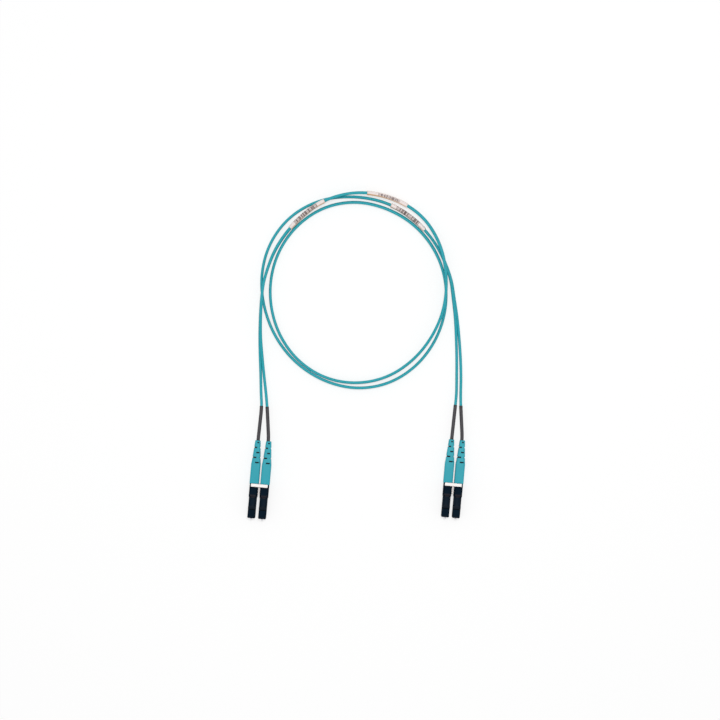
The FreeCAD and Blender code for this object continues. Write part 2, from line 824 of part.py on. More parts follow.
def tube_path(points, held):
    # Straight runs joined by tangent arcs. An arc starts a share of the shorter run before
    # its corner, or as far before it as held says.
    edges = []
    radii = []
    start = points[0]
    for index in range(1, len(points) - 1):
        corner = points[index]
        back = points[index - 1] - corner
        on = points[index + 1] - corner
        reach = held.get(index, ARC_REACH * min(back.Length, on.Length))
        back.normalize()
        on.normalize()
        half_turn = (math.pi - back.getAngle(on)) / 2
        radius = reach / math.tan(half_turn)
        middle = corner + (back + on).normalize() * (radius / math.cos(half_turn) - radius)
        enter = corner + back * reach
        leave = corner + on * reach
        edges.append(Part.LineSegment(start, enter).toShape())
        edges.append(Part.Arc(enter, middle, leave).toShape())
        radii.append(radius)
        start = leave
    edges.append(Part.LineSegment(start, points[-1]).toShape())
    return Part.Wire(edges), radii


def cord_path(number, start):
    # One strand's path from inside its left plug to inside its right plug
    left_side, right_side = (-1, 1) if number == 1 else (1, -1)
    ends = [("left", left_side), ("right", right_side)]
    first, last = [sleeve_points(pair, side, size(start)) for pair, side in ends]
    points = [*first[:2], first[3], *strand_points(number), last[3], *reversed(last[:2])]
    bends = ["outer_bend" if side < 0 else "inner_bend" for pair, side in ends]
    held = {
        1: held_length(size(bends[0])),
        2: size("lead"),
        len(points) - 3: size("lead"),
        len(points) - 2: held_length(size(bends[1])),
    }
    return tube_path([Vector(*point) for point in points], held)


def tube(name, path, radius, bore):
    # A tube along a path, or a solid one where it has no bore. Its volume is checked.
    start = path.Edges[0].Vertexes[0].Point
    way = path.Edges[0].Vertexes[1].Point - start
    shape = path.makePipeShell([Part.Wire(Part.makeCircle(radius, start, way))], True, False)
    area = math.pi * radius ** 2
    if bore:
        hole = path.makePipeShell([Part.Wire(Part.makeCircle(bore, start, way))], True, False)
        shape = shape.cut(hole).Solids[0]
        area -= math.pi * bore ** 2
    feature = doc.addObject("Part::Feature", name)
    feature.Shape = shape
    expected = area * path.Length
    print(f"{name}: length {path.Length:.1f} mm, volume {shape.Volume:.2f} of {expected:.2f}")
    return feature


def strain_sleeve(name, pair, side):
    start = size(f"{BLOCK_END} + sleeve_start")
    points = [Vector(*point) for point in sleeve_points(pair, side, start)[:3]]
    bend = size("outer_bend" if side < 0 else "inner_bend")
    path, radii = tube_path(points, {1: held_length(bend)})
    return tube(name, path, size("sleeve_radius"), size("sleeve_bore"))


def least_gap(path, other, radius):
    # The least gap of a tube to itself, or to another, on points along their paths
    points = path.discretize(Distance=GAP_STEP)
    others = points if other is path else other.discretize(Distance=GAP_STEP)
    near = math.inf
    for index, point in enumerate(points):
        first = index + GAP_NEIGHBOURS if other is path else 0
        for spot in others[first:]:
            near = min(near, point.distanceToPoint(spot))
    return near - 2 * radius


def along_turns(path):
    # The path's points and the angle each has come to round the ring, falling all the way
    steps = []
    for point in path.discretize(Distance=TURN_STEP):
        angle = math.degrees(math.atan2(point.y - RING_Y, point.x - RING_X))
        turned_to = steps[-1][0] if steps else TURN_FIRST
        steps.append((turned_to + (angle - turned_to + 180) % 360 - 180, point))
    return steps


def label(name, lines):
    # A flat sleeve round both strands, lofted through ovals along them
    turn, start, end = LABELS[name]
    outer = []
    inner = []
    for index in range(LABEL_STATIONS):
        angle = start + (end - start) * index / (LABEL_STATIONS - 1) - 360 * turn
        places = [min(range(len(line)), key=lambda at: abs(line[at][0] - angle)) for line in lines]
        lower, upper = [line[at][1] for line, at in zip(lines, places)]
        ways = [line[at + TURN_SPAN][1] - line[at - TURN_SPAN][1] for line, at in zip(lines, places)]
        outer.append(oval(lower, upper, ways[0] + ways[1], size("label_radius")))
        inner.append(oval(lower, upper, ways[0] + ways[1], size("label_bore")))
    feature = doc.addObject("Part::Feature", name)
    feature.Shape = Part.makeLoft(outer, True, True).cut(Part.makeLoft(inner, True, True)).Solids[0]
    return feature


def oval(lower, upper, way, radius):
    # Two half circles about the strands, joined by straight sides
    way.normalize()
    upper = upper - way * (upper - lower).dot(way)
    up = (upper - lower).normalize()
    side = way.cross(up)
    top = upper + up * radius
    bottom = lower - up * radius
    return Part.Wire([
        Part.Arc(upper + side * radius, top, upper - side * radius).toShape(),
        Part.LineSegment(upper - side * radius, lower - side * radius).toShape(),
        Part.Arc(lower - side * radius, bottom, lower + side * radius).toShape(),
        Part.LineSegment(lower + side * radius, upper + side * radius).toShape(),
    ])


# The four plugs, each pair held by its clip
pieces = []
for pair in ("left", "right"):
    for letter, side in (("a", -1), ("b", 1)):
        plug = f"{pair}_{letter}"
        mine = [
            front_housing(f"{plug}_front_housing"),
            latch_arm(f"{plug}_latch_arm"),
            trigger(f"{plug}_trigger"),
            rear_body(f"{plug}_rear_body", side),
            ferrule(f"{plug}_ferrule"),
            ferrule_flange(f"{plug}_ferrule_flange"),
            spring(f"{plug}_spring"),
            crimp_sleeve(f"{plug}_crimp_sleeve"),
            boot(f"{plug}_boot"),
        ]
        for piece in mine:
            place_on_pair(piece, pair, side)
        pieces += mine
        pieces.append(strain_sleeve(f"{plug}_strain_sleeve", pair, side))
    clip = duplex_clip(f"{pair}_duplex_clip")
    place_on_pair(clip, pair, 0)
    pieces.append(clip)

# The two strands, each a jacket round its yarn and its buffered fiber
jacket_start = f"{BLOCK_END} + jacket_inset"
paths = []
for number in (1, 2):
    path, radii = cord_path(number, jacket_start)
    paths.append(path)
    print(f"cord_{number} radii, mm:", " ".join(f"{radius:.0f}" for radius in radii))
    pieces.append(tube(f"cord_{number}_jacket", path, size("cord_radius"), size("cord_bore")))
    pieces.append(tube(f"cord_{number}_yarn", path, size("yarn_radius"), size("yarn_bore")))
    fiber_path, radii = cord_path(number, f"{FLANGE_END} + fiber_start")
    pieces.append(tube(f"cord_{number}_fiber", fiber_path, size("fiber_radius"), 0))
for number, path in enumerate(paths, 1):
    print(f"cord_{number} least gap to itself: {least_gap(path, path, size('cord_radius')):.2f} mm")
print(f"least gap between the cords: {least_gap(paths[0], paths[1], size('cord_radius')):.2f} mm")
lines = [along_turns(path) for path in paths]
for name in LABELS:
    pieces.append(label(name, lines))

# Nothing is written unless every object and every piece is sound
doc.recompute()
for item in doc.Objects:
    if {"Invalid", "Error"} & set(item.State):
        raise RuntimeError(f"{item.Label} failed: {item.State}")
for piece in pieces:
    if piece.Shape.isNull() or not piece.Shape.isValid():
        raise RuntimeError(f"{piece.Label} has no sound shape")
for piece in pieces:
    piece.Shape.exportStep(f"parts/{piece.Label}.step")
print(f"{len(pieces)} pieces written")
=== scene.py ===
import math

import bmesh
import bpy
from mathutils import Matrix, Vector


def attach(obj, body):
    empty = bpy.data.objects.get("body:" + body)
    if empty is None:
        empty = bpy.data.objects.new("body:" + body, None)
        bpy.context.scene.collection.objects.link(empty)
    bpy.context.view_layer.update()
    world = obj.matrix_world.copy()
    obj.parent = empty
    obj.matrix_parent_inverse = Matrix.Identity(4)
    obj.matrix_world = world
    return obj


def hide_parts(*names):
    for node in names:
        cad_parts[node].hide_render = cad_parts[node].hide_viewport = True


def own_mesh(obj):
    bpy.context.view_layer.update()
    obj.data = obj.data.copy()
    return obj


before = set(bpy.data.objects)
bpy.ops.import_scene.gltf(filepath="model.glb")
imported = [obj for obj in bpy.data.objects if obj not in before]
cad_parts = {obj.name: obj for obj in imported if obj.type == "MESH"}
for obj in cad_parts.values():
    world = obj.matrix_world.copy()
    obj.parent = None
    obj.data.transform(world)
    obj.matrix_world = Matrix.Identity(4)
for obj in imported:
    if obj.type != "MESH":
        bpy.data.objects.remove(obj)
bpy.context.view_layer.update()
scene = bpy.context.scene
mm = 0.001  # every size below is in millimetres unless its note says otherwise

# The camera looks straight down on the cord as it lies
camera = {"x": 2.28, "y": 59.38, "plane": 3.0, "frameWidth": 416.2, "lens": 100.0, "sensor": 36.0}
# One large soft lamp from the upper right, a weak one opposite it, and an even white room
light = {
    "room": 0.56,
    "key": {"at": (70, 260, 1060), "size": 260, "watts": 4.9},
    "fill": {"at": (-300, -200, 950), "size": 700, "watts": 0.7},
    "middle": (0, 50, 0),
    "floorGlow": 0.68,
}
# The plugs of a pair: the middle of the pair's front faces, their tilt, pitch and axis height
pairPlace = {"left": (-57.45, -32.17), "right": (54.42, -31.59)}
plugPlace = {"tilt": 5.0, "pitch": 6.25, "height": 3.3}
white = (1.0, 1.0, 1.0, 1.0)


def tone(red, green, blue):
    # A screen colour from 0 to 255 as the linear colour that a shader takes
    parts = [part / 255 for part in (red, green, blue)]
    return (*[part / 12.92 if part <= 0.04045 else ((part + 0.055) / 1.055) ** 2.4 for part in parts], 1.0)


class Wire:
    # A value in a node tree: sums, products and comparisons of it add their Math nodes
    def __init__(self, recipe, socket):
        self.recipe = recipe
        self.socket = socket

    def maths(self, operation, first, second=0.0):
        return self.recipe.node("ShaderNodeMath", {"operation": operation}, {0: first, 1: second})

    def __add__(self, other):
        return self.maths("ADD", self, other)

    def __sub__(self, other):
        return self.maths("SUBTRACT", self, other)

    def __mul__(self, other):
        return self.maths("MULTIPLY", self, other)

    def __truediv__(self, other):
        return self.maths("DIVIDE", self, other)

    def __mod__(self, other):
        return self.maths("FLOORED_MODULO", self, other)

    def __gt__(self, other):
        return self.maths("GREATER_THAN", self, other)

    def __lt__(self, other):
        return self.maths("LESS_THAN", self, other)

    def __abs__(self):
        return self.maths("ABSOLUTE", self)

    def __radd__(self, other):
        return self.maths("ADD", other, self)

    def __rsub__(self, other):
        return self.maths("SUBTRACT", other, self)

    def __rmul__(self, other):
        return self.maths("MULTIPLY", other, self)

    def also(self, output):
        # Another output of the same node
        return Wire(self.recipe, self.socket.node.outputs[output])


class Recipe:
    # Builds a shader's or a shape's node tree
    def __init__(self, tree):
        self.tree = tree

    def node(self, kind, settings, sockets, output=0):
        made = self.tree.nodes.new(kind)
        for key, value in settings.items():
            if key == "stops":
                ramp = made.color_ramp.elements
                while len(ramp) < len(value):
                    ramp.new(0.5)
                for element, (place, colour) in zip(ramp, value):
                    element.position = place
                    element.color = colour
            else:
                setattr(made, key, value)
        for key, value in sockets.items():
            if isinstance(value, Wire):
                self.tree.links.new(value.socket, made.inputs[key])
            else:
                made.inputs[key].default_value = value
        return Wire(self, made.outputs[output]) if made.outputs else None

    def blend(self, share, first, second):
        return self.node(
            "ShaderNodeMix", {"data_type": "RGBA"}, {0: share, 6: first, 7: second}, 2)

    def noise(self, place, scale, detail=2.0, stretch=None):
        if stretch:
            place = self.node("ShaderNodeMapping", {}, {"Vector": place, "Scale": stretch})
        return self.node("ShaderNodeTexNoise", {}, {"Vector": place, "Scale": scale, "Detail": detail})


def newFinish(name):
    # An empty material with its recipe and the place it reads, in metres on the object
    material = bpy.data.materials.new(name)
    material.use_nodes = True
    material.node_tree.nodes.clear()
    recipe = Recipe(material.node_tree)
    place = recipe.node("ShaderNodeTexCoord", {}, {}, "Object")
    return material, recipe, place


def surface(recipe, sockets):
    shader = recipe.node("ShaderNodeBsdfPrincipled", {}, sockets)
    recipe.node("ShaderNodeOutputMaterial", {}, {"Surface": shader})


def moulded(name, look):
    # Moulded plastic: a faint cloud of colour, fine grain in the relief, and uneven gloss
    material, recipe, place = newFinish(name)
    cloud = recipe.noise(place, look["cloudScale"], 3.0)
    grain = recipe.noise(place, look["grainScale"], 2.0)
    colour = recipe.blend(cloud, look["dark"], look["light"])
    # Inside the slots the pushed-in walls get a near-black colour: painted shade in the slots
    if "cut" in look:
        share = recipe.node("ShaderNodeAttribute", {"attribute_name": "cut"}, {}, "Fac")
        colour = recipe.blend(share, colour, look["cut"])
    # Bands along the plug painted darker or lighter: painted shade and painted reflections on the housing's
    # slopes
    if "bands" in look:
        back = recipe.node("ShaderNodeAttribute", {"attribute_name": "back"}, {}, "Fac")
        for start, end, shade in look["bands"]:
            colour = recipe.blend((back > start) * (back < end), colour, shade)
    relief = recipe.node(
        "ShaderNodeBump", {}, {"Strength": look["relief"], "Distance": look["depth"] * mm, "Height": grain})
    surface(recipe, {
        "Base Color": colour,
        "Roughness": look["rough"] + look["uneven"] * (cloud - 0.5),
        "Specular IOR Level": look["shine"],
        "Subsurface Weight": look.get("soft", 0.0),
        "Subsurface Radius": (0.6 * mm, 0.5 * mm, 0.5 * mm),
        "Subsurface Scale": 1.0,
        "Normal": relief,
    })
    return material


def metal(name, look):
    # Turned or drawn metal with fine rings along the plug
    material, recipe, place = newFinish(name)
    rings = recipe.noise(place, look["grainScale"], 2.0, (0.3, 4.0, 0.3))
    relief = recipe.node(
        "ShaderNodeBump", {}, {"Strength": 0.25, "Distance": 0.01 * mm, "Height": rings})
    surface(recipe, {
        "Base Color": recipe.blend(rings, look["dark"], look["light"]),
        "Metallic": 1.0,
        "Roughness": look["rough"] + 0.12 * (rings - 0.5),
        "Normal": relief,
    })
    return material


housingLook = {
    "dark": tone(0, 15, 28), "light": tone(4, 25, 40), "cloudScale": 300, "grainScale": 9000,
    "relief": 0.2, "depth": 0.01, "rough": 0.4, "uneven": 0.12, "shine": 0.05,
    # Painted light in bands, in millimetres along the plug: a painted shadow line in front of the latch's
    # lug, and painted reflections on the lug's sloped faces and on the trigger's thumb end
    "bands": ((4.9, 5.5, tone(0, 6, 12)), (5.5, 7.3, tone(20, 28, 37)), (12.05, 13.85, tone(33, 33, 40))),
}
bootLook = {
    "dark": tone(42, 152, 167), "light": tone(56, 167, 182), "cloudScale": 220, "grainScale": 7000,
    "relief": 0.2, "depth": 0.012, "rough": 0.46, "uneven": 0.1, "shine": 0.16,
    # Painted shade inside the boot's slots
    "cut": tone(4, 18, 22),
}
clipLook = {
    "dark": tone(246, 236, 232), "light": tone(253, 248, 245), "cloudScale": 260, "grainScale": 8000,
    "relief": 0.12, "depth": 0.01, "rough": 0.36, "uneven": 0.1, "shine": 0.45, "soft": 0.15,
}
ferruleLook = {
    "dark": tone(226, 224, 232), "light": tone(242, 241, 246), "cloudScale": 500, "grainScale": 20000,
    "relief": 0.03, "depth": 0.004, "rough": 0.16, "uneven": 0.04, "shine": 0.6,
}
fiberLook = {
    "dark": tone(214, 218, 214), "light": tone(232, 235, 230), "cloudScale": 300, "grainScale": 9000,
    "relief": 0.1, "depth": 0.01, "rough": 0.4, "uneven": 0.08, "shine": 0.4,
}
brassLook = {"dark": tone(176, 160, 118), "light": tone(206, 190, 146), "grainScale": 4000, "rough": 0.3}
steelLook = {"dark": tone(150, 152, 156), "light": tone(190, 192, 196), "grainScale": 4000, "rough": 0.28}
crimpLook = {"dark": tone(168, 166, 160), "light": tone(204, 201, 194), "grainScale": 3000, "rough": 0.36}


def jacketFinish():
    # Extruded jacket: streaks along the strand and a faint cross grain
    material, recipe, place = newFinish("jacketAqua")
    across = recipe.node("ShaderNodeUVMap", {}, {})
    streaks = recipe.noise(across, 1.0, 2.0, (260.0, 9.0, 1.0))
    cloud = recipe.noise(place, 90.0, 3.0)
    grain = recipe.noise(place, 6000.0, 2.0)
    share = 0.55 * streaks + 0.45 * cloud
    relief = recipe.node(
        "ShaderNodeBump", {},
        {"Strength": 0.18, "Distance": 0.012 * mm, "Height": 0.6 * grain + 0.4 * streaks})
    surface(recipe, {
        "Base Color": recipe.blend(share, tone(27, 151, 153), tone(42, 163, 184)),
        "Roughness": 0.4 + 0.1 * (cloud - 0.5),
        "Specular IOR Level": 0.2,
        "Normal": relief,
    })
    return material


def sleeveFinish():
    # Shrunk sleeve: dull charcoal, with faint lines along it, darker over its last part, and a painted
    # shadow just past the boot's mouth
    material, recipe, place = newFinish("sleeveCharcoal")
    along = recipe.node("ShaderNodeUVMap", {"uv_map": "along"}, {})
    lines = recipe.noise(along, 1.0, 2.0, (0.25, 26.0, 1.0))
    cloud = recipe.noise(place, 260.0, 3.0)
    grain = recipe.noise(place, 7000.0, 2.0)
    rim = recipe.node("ShaderNodeAttribute", {"attribute_name": "rim"}, {}, "Fac")
    colour = recipe.blend(0.5 * lines + 0.5 * cloud, tone(32, 30, 33), tone(64, 61, 66))
    colour = recipe.blend(rim, colour, tone(26, 18, 20))
    relief = recipe.node(
        "ShaderNodeBump", {},
        {"Strength": 0.3, "Distance": 0.02 * mm, "Height": 0.5 * grain + 0.5 * lines})
    surface(recipe, {
        "Base Color": colour,
        "Roughness": 0.5 + 0.12 * (cloud - 0.5),
        "Specular IOR Level": 0.4,
        "Normal": relief,
    })
    return material


def labelFinish():
    # Coated paper wrapped round both strands, with a painted brown shade where it turns under and at its
    # ends
    material, recipe, place = newFinish("labelWhite")
    fibres = recipe.noise(place, 2600.0, 4.0)
    cloud = recipe.noise(place, 240.0, 2.0)
    edge = recipe.node("ShaderNodeAttribute", {"attribute_name": "edge"}, {}, "Fac")
    colour = recipe.blend(0.5 * cloud + 0.5 * fibres, tone(225, 213, 210), tone(238, 227, 224))
    colour = recipe.blend(edge, colour, tone(206, 160, 112))
    relief = recipe.node(
        "ShaderNodeBump", {}, {"Strength": 0.15, "Distance": 0.01 * mm, "Height": fibres})
    surface(recipe, {
        "Base Color": colour,
        "Roughness": 0.48 + 0.1 * (cloud - 0.5),
        "Specular IOR Level": 0.35,
        "Normal": relief,
    })
    return material


def inkFinish():
    # Printed bars, each with its own depth of ink
    material, recipe, place = newFinish("labelInk")
    ink = recipe.node("ShaderNodeAttribute", {"attribute_name": "ink"}, {}, "Fac")
    fibres = recipe.noise(place, 5000.0, 3.0)
    colour = recipe.blend(ink + 0.2 * (fibres - 0.5), tone(168, 152, 149), tone(72, 56, 54))
    surface(recipe, {"Base Color": colour, "Roughness": 0.55, "Specular IOR Level": 0.25})
    return material


def yarnFinish():
    # Yellow aramid threads along the strand
    material, recipe, place = newFinish("yarnAramid")
    along = recipe.node("ShaderNodeUVMap", {"uv_map": "along"}, {})
    threads = recipe.noise(along, 1.0, 3.0, (0.6, 60.0, 1.0))
    relief = recipe.node(
        "ShaderNodeBump", {}, {"Strength": 0.6, "Distance": 0.03 * mm, "Height": threads})
    surface(recipe, {
        "Base Color": recipe.blend(threads, tone(196, 160, 62), tone(236, 208, 118)),
        "Roughness": 0.6 + 0.1 * (threads - 0.5),
        "Normal": relief,
    })
    return material


finish = {
    "housing_black": moulded("housingBlack", housingLook),
    "boot_aqua": moulded("bootAqua", bootLook),
    "clip_white": moulded("clipWhite", clipLook),
    "ferrule_ceramic": moulded("ferruleCeramic", ferruleLook),
    "fiber_buffer": moulded("fiberBuffer", fiberLook),
    "flange_metal": metal("flangeMetal", brassLook),
    "spring_steel": metal("springSteel", steelLook),
    "crimp_metal": metal("crimpMetal", crimpLook),
    "jacket_aqua": jacketFinish(),
    "sleeve_charcoal": sleeveFinish(),
    "label_white": labelFinish(),
    "yarn_aramid": yarnFinish(),
}
inkMaterial = inkFinish()
print("finishes made:", len(finish) + 1)


# Camera, lamps, room and floor
def makeLamp(name, look):
    data = bpy.data.lights.new(name, "AREA")
    data.shape = "DISK"
    data.size = look["size"] * mm
    data.energy = look["watts"]
    lamp = bpy.data.objects.new(name, data)
    scene.collection.objects.link(lamp)
    lamp.location = Vector(look["at"]) * mm
    aim = Vector(light["middle"]) * mm - lamp.location
    lamp.rotation_euler = aim.to_track_quat("-Z", "Y").to_euler()


def seenWhite(recipe):
    # One for the rays that should find a white room: the camera's, and those that the object
    # reflects or lets through
    ray = recipe.node("ShaderNodeLightPath", {}, {}, "Is Camera Ray")
    seen = ray.maths("MAXIMUM", ray, ray.also("Is Glossy Ray"))
    return seen.maths("MAXIMUM", seen, ray.also("Is Transmission Ray"))


def makeCamera():
    data = bpy.data.cameras.new("camera")
    data.lens = camera["lens"]
    data.sensor_width = camera["sensor"]
    data.clip_start = 0.01
    eye = bpy.data.objects.new("camera", data)
    scene.collection.objects.link(eye)
    distance = camera["frameWidth"] * camera["lens"] / camera["sensor"]
    eye.location = Vector((camera["x"], camera["y"], camera["plane"] + distance)) * mm
    scene.camera = eye


def makeRoom():
    world = bpy.data.worlds.new("room")
    scene.world = world
    world.use_nodes = True
    world.node_tree.nodes.clear()
    recipe = Recipe(world.node_tree)
    strength = light["room"] + (1.0 - light["room"]) * seenWhite(recipe)
    air = recipe.node("ShaderNodeBackground", {}, {"Color": white, "Strength": strength})
    recipe.node("ShaderNodeOutputWorld", {}, {"Surface": air})


def makeFloor():
    floor = bpy.data.objects.new("floor", bpy.data.meshes.new("floor"))
    scene.collection.objects.link(floor)
    shape = bmesh.new()
    bmesh.ops.create_grid(shape, x_segments=1, y_segments=1, size=6.0)
    shape.to_mesh(floor.data)
    shape.free()
    material, recipe, _ = newFinish("floorPaper")
    paper = recipe.node(
        "ShaderNodeBsdfPrincipled", {}, {"Base Color": white, "Roughness": 0.9, "Specular IOR Level": 0.0})
    glow = recipe.node("ShaderNodeEmission", {}, {"Color": white, "Strength": 1.0})
    share = light["floorGlow"] * seenWhite(recipe)
    both = recipe.node("ShaderNodeMixShader", {}, {0: share, 1: paper, 2: glow})
    recipe.node("ShaderNodeOutputMaterial", {}, {"Surface": both})
    floor.data.materials.append(material)


makeCamera()
makeLamp("keyLamp", light["key"])
makeLamp("fillLamp", light["fill"])
makeRoom()
makeFloor()
scene.view_settings.view_transform = "Standard"
print("camera, lamps and floor made")


# Cords first. The route is the part's own, with its lanes moved by up to a millimetre to lie as
# photographed.
route = {
    "middle": (0.2, 97.8),
    "firstAngle": 170,
    "step": 20,
    # Radius of the pair's line at every step, clockwise, for each turn
    "firstTurn": (
        53.1, 53.2, 53.9, 56.5, 58.2, 58.7, 58.7, 55.7, 52.4,
        50.85, 49.85, 50.15, 51.15, 51.6, 51.7, 51.1, 50.2, 49.7,
    ),
    "secondTurn": (
        50.0, 50.9, 52.0, 53.0, 52.9, 51.9, 51.7, 51.6, 51.8,
        52.1, 52.8, 53.95, 54.9, 54.65, 53.5, 52.8, 52.7, 53.5,
    ),
    "thirdTurn": (55.6, 57.65, 58.55, 57.6, 55.7, 55.0, 54.0, 53.9, 54.7),
    # Where the first turn climbs over the others: angle, half of its flat top, slope and rise
    "humps": ((180, 10, 24, 3.9), (100, 10, 40, 3.9), (6, 24, 32, 3.9), (56 - 720, 16, 30, 0.5)),
    # How far the second strand leans over the first, every 45 degrees
    "leanStep": 45,
    "lean": (86, 97, 82, 77, 86, 90, 90, 90, 88, 83, 80, 78, 88, 90, 90, 90, 88, 86, 89, 90, 72),
    "spacing": 1.66,
    # The legs: x, y, height, lean, spacing of the two strands
    "leftLeg": (
        (-53.5, 40.1, 2.7, 0, 2.9),
        (-54.2, 50.6, 1.7, 0, 1.85),
        (-54.95, 61.6, 1.3, 42, 1.72),
        (-55.45, 72.6, 2.4, 70, 1.7),
        (-55.2, 84.2, 4.2, 78, 1.68),
        (-54.55, 95.8, 4.7, 85, 1.66),
    ),
    "rightLeg": (
        (56.45, 95.6, 0.8, 64, 1.68),
        (58.0, 84.0, 0.8, 46, 1.72),
        (58.8, 73.1, 0.8, 20, 1.82),
        (59.4, 61.0, 1.1, 0, 2.2),
        (59.5, 49.6, 1.7, 0, 2.55),
        (59.3, 40.1, 2.6, 0, 2.4),
    ),
}
strand = {
    "radius": 0.815, "length": 1052, "start": 25.9, "fiberStart": 9.4, "yarn": 0.48, "fiber": 0.3,
    "yarnPlay": 0.03, "innerSides": 8,
}
# rim is how long the sleeve's darker last part is, and mouth how long the painted shadow past the boot's
# end is
sleeve = {
    "radius": 1.0, "bore": 0.84, "from": 32.7, "to": 65.0, "rim": 0.9, "mouth": 0.6, "bootEdge": 45.0,
    "cornerAhead": 1.6, "bendRadius": 20.0, "outerBend": 1.2, "innerBend": 7.6, "stretch": 9.6,
    "sides": 24,
}


def onPlug(pair, side, across, back, height=0.0):
    # A point in a plug's own measures as a point on the object, in metres
    turn = math.radians(plugPlace["tilt"])
    across += side * plugPlace["pitch"] / 2
    x, y = pairPlace[pair]
    return Vector((
        x + across * math.cos(turn) + back * math.sin(turn),
        y - across * math.sin(turn) + back * math.cos(turn),
        plugPlace["height"] + height,
    )) * mm


def plugMatrix(pair, side):
    move = Matrix.Translation(onPlug(pair, side, 0.0, 0.0))
    return move @ Matrix.Rotation(-math.radians(plugPlace["tilt"]), 4, "Z")


def endPoints(pair, side, start):
    # Out of the plug, a slight bend at the boot's end, then straight through the sleeve
    bend = math.radians(-sleeve["outerBend"] if side < 0 else sleeve["innerBend"])
    held = sleeve["bendRadius"] * math.tan(abs(bend) / 2)
    corner = sleeve["bootEdge"] - sleeve["cornerAhead"] + held
    places = [(0.0, start), (0.0, corner)]
    for reach in (sleeve["stretch"], sleeve["to"] - corner):
        places.append((-reach * math.sin(bend), corner + reach * math.cos(bend)))
    return [onPlug(pair, side, across, back) for across, back in places]


def between(stations, place):
    # The value at a place along even stations, on a smooth curve through all of them
    index = min(int(place), len(stations) - 2)
    part = place - index
    start = stations[index]
    end = stations[index + 1]
    before = stations[max(index - 1, 0)]
    after = stations[min(index + 2, len(stations) - 1)]
    curve = 2 * before - 5 * start + 4 * end - after + part * (3 * (start - end) + after - before)
    return start + part / 2 * (end - before + part * curve)


def hump(angle, middle, flat, slope):
    past = min(max((abs(angle - middle) - flat) / slope, 0), 1)
    return 0.5 + 0.5 * math.cos(math.pi * past)


def ringPoints():
    # The pair's line round the turns: x, y, height, lean and spacing
    points = []
    outside = 1 / math.cos(math.radians(route["step"] / 2))
    lane = route["firstTurn"] + route["secondTurn"] + route["thirdTurn"]
    for index, radius in enumerate(lane):
        angle = route["firstAngle"] - route["step"] * index
        height = strand["radius"] + sum(rise * hump(angle, *shape) for *shape, rise in route["humps"])
        lean = between(route["lean"], (180 - angle) / route["leanStep"])
        turn = math.radians(angle)
        x = route["middle"][0] + radius * outside * math.cos(turn)
        y = route["middle"][1] + radius * outside * math.sin(turn)
        points.append((x, y, height, lean, route["spacing"]))
    return points


def strandPoints(number):
    # One strand of the pair: the first starts on the left and passes under the second
    line = [*route["leftLeg"], *ringPoints(), *route["rightLeg"]]
    points = []
    for index, (x, y, height, lean, spacing) in enumerate(line):
        before = line[max(index - 1, 0)]
        after = line[min(index + 1, len(line) - 1)]
        way = Vector((after[0] - before[0], after[1] - before[1])).normalized()
        aside = spacing * math.cos(math.radians(lean)) / 2 * (-1 if number == 1 else 1)
        lift = spacing * math.sin(math.radians(lean)) if number == 2 else 0.0
        points.append(Vector((x + aside * way.y, y - aside * way.x, height + lift)) * mm)
    return points


def cordPoints(number, start):
    leftSide, rightSide = (-1, 1) if number == 1 else (1, -1)
    first = endPoints("left", leftSide, start)
    last = endPoints("right", rightSide, start)
    return [*first, *strandPoints(number), *reversed(last)]


def cordCurve(name, points, radius):
    # One open smooth spline, round where it has a radius
    curve = bpy.data.curves.new(name, "CURVE")
    curve.dimensions = "3D"
    curve.resolution_u = 12
    curve.bevel_depth = radius * mm
    curve.bevel_resolution = 7
    curve.use_fill_caps = radius > 0
    spline = curve.splines.new("NURBS")
    spline.points.add(len(points) - 1)
    for point, place in zip(spline.points, points):
        point.co = (*place, 1.0)
    spline.order_u = 3
    spline.use_endpoint_u = True
    cord = bpy.data.objects.new(name, curve)
    scene.collection.objects.link(cord)
    return cord


def bareLine(points):
    # The points along the middle of a strand, from its own spline
    guide = cordCurve("guide", points, 0.0)
    mesh = bpy.data.meshes.new_from_object(guide)
    line = [vertex.co.copy() for vertex in mesh.vertices]
    bpy.data.meshes.remove(mesh)
    bpy.data.curves.remove(guide.data)
    return line


def stretchOf(line, start, end):
    # The part of a line between two distances along it
    kept = []
    gone = 0.0
    for before, after in zip(line, line[1:]):
        step = (after - before).length
        for edge in (start, end):
            if gone <= edge < gone + step:
                kept.append(before.lerp(after, (edge - gone) / step))
        gone += step
        if start < gone < end:
            kept.append(after.copy())
    return kept


def newPiece(name, mesh, materials, body="root"):
    piece = bpy.data.objects.new(name, mesh)
    scene.collection.objects.link(piece)
    for material in materials:
        mesh.materials.append(material)
    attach(piece, body)
    return piece


def smoothOver(mesh, angle):
    mesh.shade_smooth()
    mesh.set_sharp_from_angle(angle=math.radians(angle))


def ringMesh(name, rings, closed=False):
    # Faces between closed rings of points. The last ring joins the first if closed is true,
    # and otherwise one face shuts each end.
    shape = bmesh.new()
    rows = [[shape.verts.new(point) for point in ring] for ring in rings]
    pairs = list(zip(rows, rows[1:]))
    if closed:
        pairs.append((rows[-1], rows[0]))
    count = len(rows[0])
    for row, after in pairs:
        for i in range(count):
            shape.faces.new((row[i], row[(i + 1) % count], after[(i + 1) % count], after[i]))
    if not closed:
        shape.faces.new(rows[0])
        shape.faces.new(rows[-1])
    bmesh.ops.recalc_face_normals(shape, faces=shape.faces)
    mesh = bpy.data.meshes.new(name)
    shape.to_mesh(mesh)
    shape.free()
    return mesh


def tubeFrames(line):
    # Place, side and up at each point of a line, turned as little as possible
    ways = [(line[min(i + 1, len(line) - 1)] - line[max(i - 1, 0)]).normalized() for i in range(len(line))]
    side = ways[0].cross(Vector((0, 0, 1))).normalized()
    frames = []
    for place, way in zip(line, ways):
        side = (side - way * side.dot(way)).normalized()
        frames.append((place, side, side.cross(way)))
    return frames


